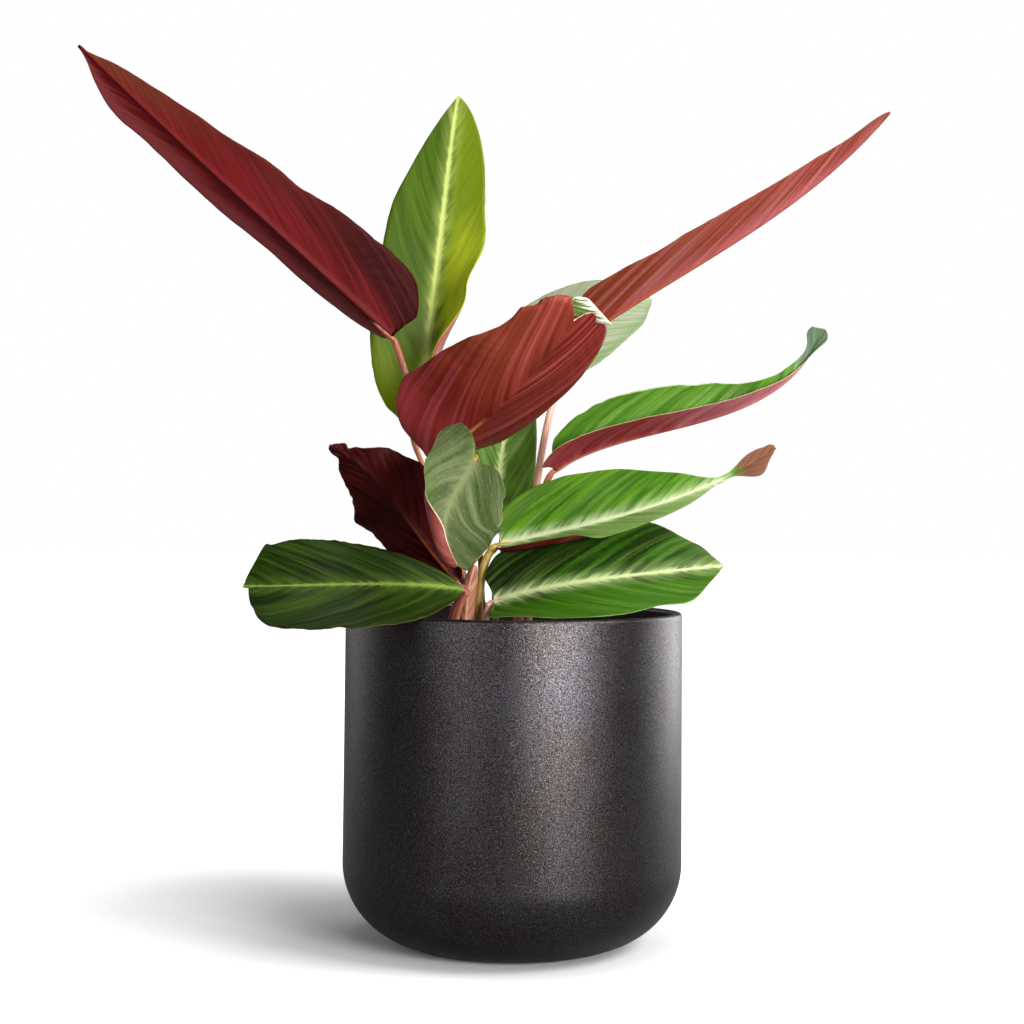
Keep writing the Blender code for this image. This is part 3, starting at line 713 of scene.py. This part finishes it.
# The small leaf at the front hangs its grey-green blade over the crown, and its right
# edge curls under, so that a strip of the pink underside shows at the left.
front_small = Leaf(
    "front_small",
    midrib=[(-16.8, -68, 211.8), (-22.6, -78, 200.5), (-27.5, -90, 186.5), (-23, -89, 169.5)],
    facing=[(0.2, -0.8, 0.5), (0.3, -1, 0.2)],
    left=Half(22, 0.5, 8, 0.6, fold=(5, 5, 10), lobe=3, notch=5),
    right=Half(17, 0.45, 5, 0.4, fold=(5,), curl=(5, 10, 15), roll=(0, 0, 0, 70, 165, 185),
               roll_from=(0.45, 0.45, 0.45, 0.40, 0.30, 0.30), lobe=18, lobe_from=0.0,
               lobe_full=1.4, lobe_rise=0.55),
    ragged=1.0,
    waves=((-1, 0.3, -1.5, 0.12), (-1, 0.88, 4.0, 0.12), (-1, 1.0, 6.0, 0.05),
           (1, 0.15, 5.0, 0.15), (1, 0.75, -2.0, 0.17)))
grow_leaf(
    front_small,
    upper=dict(body=ink(68, 80, 42), mottle=ink(54, 72, 26), streak=ink(124, 134, 96), streaks=0.6,
               rib=ink(114, 122, 80), rib_width=1.6, feather=0.9, halo=0.3,
               edge=(ink(122, 126, 90), 0.02), speck=0.3, seed=11.2,
               tints=[(ink(70, 104, 32), (0.62, 0.9), (0.2, 0.6), 0.7)]),
    under=dict(body=ink(116, 46, 40), mottle=ink(128, 60, 54), streak=ink(180, 120, 110),
               streaks=0.4, rib=ink(200, 140, 124), rib_width=0.8, feather=0.2, seed=12.3,
               edge=(ink(214, 190, 170), 0.04)))

# The dark crinkled leaf at the left is turned away and shows a nearly black-red underside.
left_dark = Leaf(
    "left_dark",
    midrib=[(-23, -22, 159), (-41, -30, 180.5), (-59.5, -40, 204), (-78, -50, 218)],
    facing=[(0.2, 1, 0.3), (0.3, 1, 0.3)],
    left=Half(25, 0.7, 3, 1.05, fold=(15,), curl=(10,), ease=1.8),
    right=Half(21, 0.5, 3, 0.6, fold=(15,), curl=(10,), ease=1.3),
    ripple=2, ragged=2.4, pleat=0.5,
    waves=((1, 0.54, 6.5, 0.12), (1, 0.92, -4.5, 0.05), (-1, 0.66, 0.8, 0.12),
           (-1, 0.84, -1.5, 0.06), (-1, 0.915, -2.0, 0.015)))
grow_leaf(
    left_dark,
    upper=dict(body=ink(34, 58, 14), mottle=ink(48, 78, 20), streak=ink(110, 140, 80), streaks=0.4,
               rib=ink(140, 160, 100), rib_width=1.0, seed=13.4),
    under=dict(body=ink(48, 7, 6), mottle=ink(64, 13, 12), streak=ink(82, 20, 18), streaks=0.4,
               rib=ink(112, 52, 24), rib_width=0.25, feather=0.05, seed=14.5, shine=0.05,
               rib_end=(0.35, 0.60),
               tints=[(ink(22, 3, 3), None, (0.45, 0.0), 0.8)]))

# The low leaf at the left lies over the rim: dark green, with a yellow-green midrib.
left_low = Leaf(
    "left_low",
    midrib=[(-21.5, -30, 157), (-48.5, -50, 160), (-79.5, -62, 160), (-112.5, -58, 159)],
    facing=[(0, -0.75, 0.66)],
    left=Half(26.5, 0.55, 9, 0.5, fold=(5,), end=0.1, ease=2.0),
    right=Half(23.5, 0.85, 10, 0.5, fold=(5,), end=0.1, ease=1.3),
    ragged=1.0,
    waves=((-1, 1.0, -14.0, 0.09), (-1, 0.915, -1.2, 0.012), (1, 0.88, 1.2, 0.08),
           (1, 0.965, 5.5, 0.035), (1, 0.99, -2.0, 0.012), (-1, 0.62, -1.0, 0.02)))
grow_leaf(
    left_low,
    upper=dict(body=ink(14, 29, 1), mottle=ink(34, 58, 5), streak=ink(78, 102, 30), streaks=0.45,
               rib=ink(118, 144, 58), rib_width=1.0, feather=0.7, halo=0.2,
               edge=(ink(84, 66, 30), 0.015), seed=15.6,
               tints=[(ink(12, 24, 1), (0.4, 0.1), None, 0.6)]),
    under=dict(RED_UNDERSIDE, seed=16.7))

# The low leaf at the right: bright and dark green with a cream, feathered midrib, and a
# painted shadow near the base of its left half.
right_low = Leaf(
    "right_low",
    midrib=[(-8.5, -25, 152), (33.5, -40, 162), (60.5, -42, 165.5), (89, -35, 168.5)],
    facing=[(0, -0.8, 0.6)],
    left=Half(23.5, 0.10, 4, 0.8, fold=(12,), lobe=6),
    right=Half(20.5, 0.20, 5, 0.9, fold=(12,), lobe=7),
    pleat=0.6,
    waves=((-1, 0.21, -2.5, 0.17), (-1, 0.70, 4.8, 0.17), (-1, 0.93, 1.2, 0.03),
           (1, 0.14, -6.0, 0.12), (1, 0.55, 4.2, 0.20), (1, 0.80, 5.0, 0.08)))
grow_leaf(
    right_low,
    upper=dict(body=ink(20, 42, 3), mottle=ink(46, 90, 9), streak=ink(104, 136, 56), streaks=0.5,
               rib=ink(196, 212, 148), rib_width=1.5, feather=0.9, halo=0.3,
               edge=(ink(130, 150, 84), 0.02), seed=17.8,
               tints=[(ink(56, 104, 10), (0.54, 0.70), None, 0.7),
                      # Painted shadow: near black over the left half towards the base, where the
                      # leaf above shades it.
                      (ink(12, 26, 2), (0.46, 0.30), (0.50, 0.15), 0.8),
                      (ink(70, 96, 32), None, (0.80, 1.0), 0.75)]),
    under=dict(RED_UNDERSIDE, seed=18.9))

# The middle leaf at the right narrows to a twisted, oval brown-pink tip.
right_middle = Leaf(
    "right_middle",
    midrib=[(-6, -15, 176.3), (34, -28, 186), (79, -38, 201), (112, -30, 219.5)],
    facing=[(0, -0.77, 0.64), (0, -0.77, 0.64), (0, -1, 0.3)],
    left=Half(25.5, 0.32, 2.0, 0.8, fold=(25,), lobe=6, lobe_from=0.0),
    right=Half(18, 0.35, 1.8, 0.7, fold=(38,), curl=(-30,),
               roll=(110, 110, 105, 90, 0, 0, 0, 0, 0, 0, 0), roll_from=(0.74,), tight=4.0,
               lobe=6, lobe_from=0.0),
    neck=(0.80, 0.85, 0.11), pleat=0.3,
    waves=((-1, 0.95, 0.2, 0.03), (1, 0.89, 4.8, 0.045), (-1, 0.99, 1.2, 0.02),
           (-1, 0.62, -4.0, 0.12), (1, 0.64, -3.0, 0.12)))
grow_leaf(
    right_middle,
    upper=dict(body=ink(50, 104, 8), mottle=ink(94, 146, 26), streak=ink(140, 172, 84),
               streaks=0.45, rib=ink(206, 216, 170), rib_width=1.8, feather=0.8, halo=0.35,
               seed=19.1, rib_end=(0.74, 0.84), tip=(ink(118, 66, 54), 0.82, 0.87),
               tints=[(ink(110, 134, 76), (0.58, 0.68), None, 0.75),
                      (ink(44, 92, 8), (0.40, 0.2), (0.30, 0.1), 0.5)]),
    under=dict(RED_UNDERSIDE, seed=20.2, tip=(ink(128, 106, 60), 0.84, 0.9),
               # Painted shade: dark maroon towards the base of the underside, on the turned-up
               # margin strip.
               tints=[(ink(64, 14, 12), None, (0.50, 0.30), 0.85)]))

# The folded leaf at the right: green inside, and the near half shows its red underside.
right_folded = Leaf(
    "right_folded",
    midrib=[(18.5, -1, 210.5), (65.5, -12, 227.5), (118, -22, 249), (133, -20, 272)],
    facing=[(0, -0.46, 0.89)],
    left=Half(23.5, 0.42, 1.8, 1.0, fold=(60, 60, 60, 60, 60, 60, 5), curl=(0,), ease=1.2,
              lobe=5, lobe_from=0.0),
    right=Half(14.6, 0.1, 1.8, 0.6, fold=(55, 55, 55, 55, 55, 50, 5), curl=(0,), lobe=7,
               lobe_from=0.0),
    neck=(0.87, 0.62, 0.09), ragged=1.0,
    waves=((-1, 0.985, 4.5, 0.04), (1, 0.975, 3.0, 0.035), (1, 0.68, -1.3, 0.16),
           (-1, 0.70, -3.2, 0.10), (-1, 0.85, 1.5, 0.05)))
grow_leaf(
    right_folded,
    upper=dict(body=ink(66, 112, 18), mottle=ink(88, 140, 30), streak=ink(160, 188, 116),
               streaks=0.5, rib=ink(190, 204, 150), rib_width=1.0, edge=(ink(190, 200, 150), 0.03),
               seed=21.3, rib_end=(0.75, 0.85), tip=(ink(96, 116, 92), 0.84, 0.90)),
    under=dict(body=ink(134, 44, 42), mottle=ink(150, 60, 58), streak=ink(204, 130, 130),
               streaks=0.5, rib=ink(196, 120, 100), rib_width=0.6, feather=0.1, seed=22.4,
               rib_end=(0.2, 0.5),
               tints=[(ink(204, 124, 132), None, (0.30, 0.80), 0.85)]))

# The small leaf inside the crown shows only a strip of green with a pale midrib.
back_inner = Leaf(
    "back_inner",
    midrib=[(-5.5, 20, 186), (-7, 28, 210), (-4.5, 35, 229), (-2, 40, 267)],
    facing=[(0, -1, 0.1)],
    left=Half(16, 0.25, 3, 0.8, fold=(10,), curl=(0,)),
    right=Half(17, 0.22, 3, 0.8, fold=(10,), curl=(0,)))
grow_leaf(
    back_inner,
    upper=dict(body=ink(60, 90, 18), mottle=ink(74, 108, 30), streak=ink(140, 170, 100),
               streaks=0.4, rib=ink(180, 196, 130), rib_width=1.3, feather=0.8, seed=23.5),
    under=dict(RED_UNDERSIDE, seed=24.6))


# The stems: round, fleshy leaf stems that come up out of the soil, thicker at the foot and
# darker there, partly in their own colour and partly in painted shade, and end in a smooth,
# swollen joint that runs on under the midrib.
STEM_LEAD = 2.5 * MM
STEM_SIDES = 18
STEM_RINGS = 60
STEM_TAPER = 0.3
STEM_ROOT_MM = 7
FOOT_ROOM = 1.35
FOOT_SWELL = 0.35
FOOT_LENGTH = 0.25
JOINT_SWELL = 0.14
JOINT_PLACE = 0.93
JOINT_LENGTH = 0.05
RUN_ON_RINGS = 8
RUN_ON_STEP = 0.012
RUN_ON_TAPER = 0.75
ORANGE = ink(176, 104, 62)
PINK = ink(214, 160, 138)
OLIVE = ink(138, 112, 44)
# The common foot colour is darkened to paint the shade near the soil.
FOOT = ink(112, 60, 44)


def bezier(points, t):
    level = [Vector(point) for point in points]
    while len(level) > 1:
        level = [a.lerp(b, t) for a, b in zip(level, level[1:])]
    return level[0]


def tube(name, route, radii, finish):
    """Skin a round tube over a dense route, closed at both ends, mapped round and along."""
    bm = bmesh.new()
    bmesh.ops.create_grid(bm, x_segments=STEM_SIDES, y_segments=len(route) - 1, size=1.0)
    ahead = [(route[min(i + 1, len(route) - 1)] - route[max(i - 1, 0)]).normalized()
             for i in range(len(route))]
    side = ahead[0].orthogonal().normalized()
    frames = []
    travelled = 0.0
    for i, direction in enumerate(ahead):
        side = (side - side.dot(direction) * direction).normalized()
        if i:
            travelled += (route[i] - route[i - 1]).length
        frames.append((side.copy(), direction.cross(side), travelled))
    mapped = {}
    for vert in bm.verts:
        ring = round((vert.co.y + 1) / 2 * (len(route) - 1))
        turn = (vert.co.x + 1) / 2
        a = 2 * math.pi * turn
        first, second, gone = frames[ring]
        vert.co = route[ring] + (first * math.cos(a) + second * math.sin(a)) * radii[ring]
        mapped[vert.index] = (turn, gone / travelled)
    layer = bm.loops.layers.uv.new("length")
    for face in bm.faces:
        for loop in face.loops:
            loop[layer].uv = mapped[loop.vert.index]
    bmesh.ops.remove_doubles(bm, verts=bm.verts, dist=WELD / 2)
    bmesh.ops.holes_fill(bm, edges=[edge for edge in bm.edges if edge.is_boundary], sides=0)
    bmesh.ops.recalc_face_normals(bm, faces=bm.faces)
    return show(name, bm, [finish.material])


def stem_skin(name, foot, middle, joint, seed):
    """Finish of a stem: foot, middle and joint in their own tints, streaked lengthwise."""
    skin = Finish(name, Roughness=0.38)
    length = skin.uv("length")
    along = skin.node("SeparateXYZ", 1, Vector=length)
    colour = skin.mix(skin.step(along, 0.05, 0.55), foot, middle)
    colour = skin.mix(skin.step(along, 0.80, 0.90), colour, joint)
    at = skin.place()
    streaks = skin.noise(at, (1400, 1400, 60), seed, detail=3.0, rough=0.6)
    colour = skin.mix(skin.step(streaks, 0.35, 0.65, 0.35, 0.0), colour,
                      tuple(0.45 * part for part in middle))
    colour = skin.mix(skin.step(streaks, 0.55, 0.75, 0.0, 0.35), colour, ink(226, 176, 150))
    skin.colour(colour)
    skin.bump(streaks, 0.0002, 0.6)
    return skin


feet = []


def raise_stem(leaf, controls, radius, middle, joint, seed, foot=FOOT):
    """Run a stem up from under the soil and on under the first of the blade's midrib."""
    finish = stem_skin(leaf.name + "_stem", foot, middle, joint, seed)
    x, y = controls[0]
    feet.append((x * MM, y * MM, FOOT_ROOM * radius * MM))
    base = Vector(leaf.midrib[0])
    along = (through(leaf.midrib, 0.01) - base).normalized()
    facing = Vector(leaf.facing[0])
    below = -(facing - facing.dot(along) * along).normalized()
    turn = base - along * STEM_LEAD / MM + below * 0.5
    path = [(x, y, SOIL_LEVEL / MM)] + list(controls[1:]) + [turn]
    route = [Vector((x, y, SOIL_LEVEL / MM - STEM_ROOT_MM)) * MM]
    route += [bezier(path, i / STEM_RINGS) * MM for i in range(STEM_RINGS + 1)]
    for i in range(1, RUN_ON_RINGS + 1):
        t = RUN_ON_STEP * i
        route.append((through(leaf.midrib, t) + below * (0.75 + 0.02 * i)) * MM)
    radii = []
    for i in range(len(route)):
        s = min(i / (STEM_RINGS + 1), 1)
        width = 1.0 - STEM_TAPER * s + FOOT_SWELL * max(1 - s / FOOT_LENGTH, 0) ** 2
        width += JOINT_SWELL * math.exp(-((s - JOINT_PLACE) / JOINT_LENGTH) ** 4)
        if i > STEM_RINGS + 1:
            width *= 1 - RUN_ON_TAPER * (i - STEM_RINGS - 1) / RUN_ON_RINGS
        radii.append(radius * MM * width)
    piece = tube("petiole_" + leaf.name, route, radii, finish)
    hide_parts("stem_" + leaf.name)


raise_stem(left_tall, [(-21, -7.5), (-21.5, -8, 178), (-42, 0, 229.5)], 1.9,
           middle=ink(150, 80, 50), joint=ink(158, 76, 44), seed=1.0)
raise_stem(back_upright, [(-18.5, -1), (-19, 4, 178), (-41.5, 22, 203)], 1.6,
           middle=ORANGE, joint=OLIVE, seed=2.0)
raise_stem(centre_red, [(-21.5, -14), (-21, -14, 165), (-27.5, -14, 196)], 1.8,
           middle=ORANGE, joint=ink(168, 84, 54), seed=3.0)
raise_stem(right_tall, [(6, 10), (6, 12, 169), (9, 16, 242)], 2.1,
           middle=PINK, joint=ink(184, 112, 60), seed=4.0)
raise_stem(back_pale, [(-1, 17), (6, 32, 165), (3, 50, 236)], 1.3,
           middle=PINK, joint=OLIVE, seed=5.0)
raise_stem(front_small, [(-12, -2), (-17, 4, 172), (-14, -30, 198)], 1.4,
           middle=OLIVE, joint=OLIVE, seed=6.0)
raise_stem(left_dark, [(-31, -13), (-28, -15, 143), (-26, -20, 153)], 1.6,
           middle=ink(120, 50, 40), joint=ink(130, 56, 42), seed=7.0)
raise_stem(left_low, [(-27.5, -24), (-26, -26, 141.5), (-24, -29, 151.5)], 1.6,
           middle=ink(150, 80, 60), joint=OLIVE, seed=8.0)
raise_stem(right_low, [(-10.5, -18), (-15, -20, 141.5), (-11.5, -23, 148)], 2.0,
           middle=PINK, joint=OLIVE, seed=9.0)
raise_stem(right_middle, [(-16, -12.5), (-16.5, -13.5, 156.5), (-14.5, -15, 171.5)], 2.3,
           middle=ink(158, 132, 48), joint=ink(188, 128, 58), seed=10.0, foot=ink(168, 128, 60))
raise_stem(right_folded, [(2, 3), (2.5, 3, 164.5), (9, 3, 198.5)], 1.7,
           middle=ORANGE, joint=ink(190, 116, 60), seed=11.0)
raise_stem(back_inner, [(-9, 8), (-8.5, 10, 151), (-5, 16, 169)], 1.4,
           middle=OLIVE, joint=OLIVE, seed=12.0)


# The crown: a dry papery sheath that once wrapped the red leaf's stem, and a young leaf
# that is still rolled up into a spear.  Both come up out of the soil.
SHEATH_FOOT = (-21.5 * MM, -19.5 * MM, 4.0 * MM)
SPEAR_FOOT = (-40 * MM, -22 * MM, 2.2 * MM)
SPEAR_PATH = [(-40, -22, 125), (-40, -22, 136), (-41, -23, 146), (-43, -25, 158)]
SPEAR_RADIUS = 2.0 * MM
SPEAR_STEPS = 40
sheath = Leaf(
    "sheath",
    midrib=[(-21.5, -19.7, 125.8), (-21, -20, 142), (-20, -20.6, 156), (-17, -20.4, 167.5)],
    facing=[(0.05, 1, 0)],
    left=Half(5.6, 0.05, 7, 0.6, fold=(20,), curl=(60,)),
    right=Half(5.6, 0.05, 7, 0.6, fold=(20,), curl=(60,)), pleat=0.1)
dry = leaf_side("dry_sheath", ink(176, 122, 96), ink(150, 92, 70), streak=ink(216, 176, 150),
                streaks=0.7, rib=ink(200, 150, 120), rib_width=0.5, seed=30.1, gloss=0.6,
                edge=(ink(110, 66, 44), 0.06))
lay_blade(sheath, "crown_sheath", "shoot_sheath", dry, dry,
          thickness=0.3 * MM, rib=0.1 * MM)

rolled = stem_skin("rolled_leaf", ink(150, 80, 66), ink(120, 44, 40), ink(110, 40, 38), 13.0)
route = [Vector((-40, -22, 118)) * MM]
route += [bezier(SPEAR_PATH, i / SPEAR_STEPS) * MM for i in range(SPEAR_STEPS + 1)]
radii = [SPEAR_RADIUS * (1 - 0.8 * i / (SPEAR_STEPS + 1)) for i in range(len(route))]
spear = tube("spear", route, radii, rolled)
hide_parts("shoot_spear")
feet += [SHEATH_FOOT, SPEAR_FOOT]


# What lies loose on the soil: crumbs of peat, flat chips of bark and grains of perlite.
# They are strewn last, because they keep clear of everything that stands in the soil.
WALL_ROOM = 1.2
STEM_ROOM = 1.4


def scatter(name, count, sizes, flatness, finish, seed, lift):
    """Strew small crumbs over the soil and clear of the stems' feet, all in one piece."""
    dice = random.Random(seed)
    bm = bmesh.new()
    for _ in range(count):
        size = dice.uniform(*sizes) * MM
        reach = (SOIL_RADIUS - WALL_ROOM * size) * math.sqrt(dice.random())
        a = dice.uniform(0, 2 * math.pi)
        x, y = reach * math.cos(a), reach * math.sin(a)
        if any(math.hypot(x - foot_x, y - foot_y) < foot + STEM_ROOM * size
               for foot_x, foot_y, foot in feet):
            continue
        made = bmesh.ops.create_icosphere(bm, subdivisions=1, radius=size)["verts"]
        stretch = (dice.uniform(0.7, 1.3), dice.uniform(0.6, 1.0),
                   flatness * dice.uniform(0.7, 1.2))
        tilt = Vector((dice.uniform(-0.5, 0.5), dice.uniform(-0.5, 0.5), 1))
        turn = tilt.to_track_quat("Z", "Y").to_matrix()
        spin = dice.uniform(0, 2 * math.pi)
        for vert in made:
            p = vert.co * dice.uniform(0.8, 1.15)
            p = Vector((p.x * stretch[0], p.y * stretch[1], p.z * stretch[2]))
            p = Vector((p.x * math.cos(spin) - p.y * math.sin(spin),
                        p.x * math.sin(spin) + p.y * math.cos(spin), p.z))
            vert.co = turn @ p + Vector((x, y, soil_height(x, y) + size * flatness * lift))
    bmesh.ops.recalc_face_normals(bm, faces=bm.faces)
    piece = show(name, bm, [finish.material], smooth=False)


bark = Finish("bark_chips", Roughness=0.85)
bark.colour(bark.mix(bark.noise(bark.place(), (250, 250, 90), seed=2.0),
                     ink(58, 36, 22), ink(112, 78, 50)))
perlite = Finish("perlite", Roughness=0.9)
perlite.colour(perlite.mix(perlite.noise(perlite.place(), (600, 600, 600), seed=3.0),
                           ink(196, 190, 178), ink(236, 233, 226)))
scatter("peat_crumbs", 700, (0.5, 1.8), flatness=0.8, finish=peat, seed=11, lift=0.3)
scatter("bark", 90, (1.5, 3.4), flatness=0.35, finish=bark, seed=12, lift=0.5)
scatter("perlite_grains", 110, (0.6, 1.5), flatness=0.9, finish=perlite, seed=13, lift=0.5)
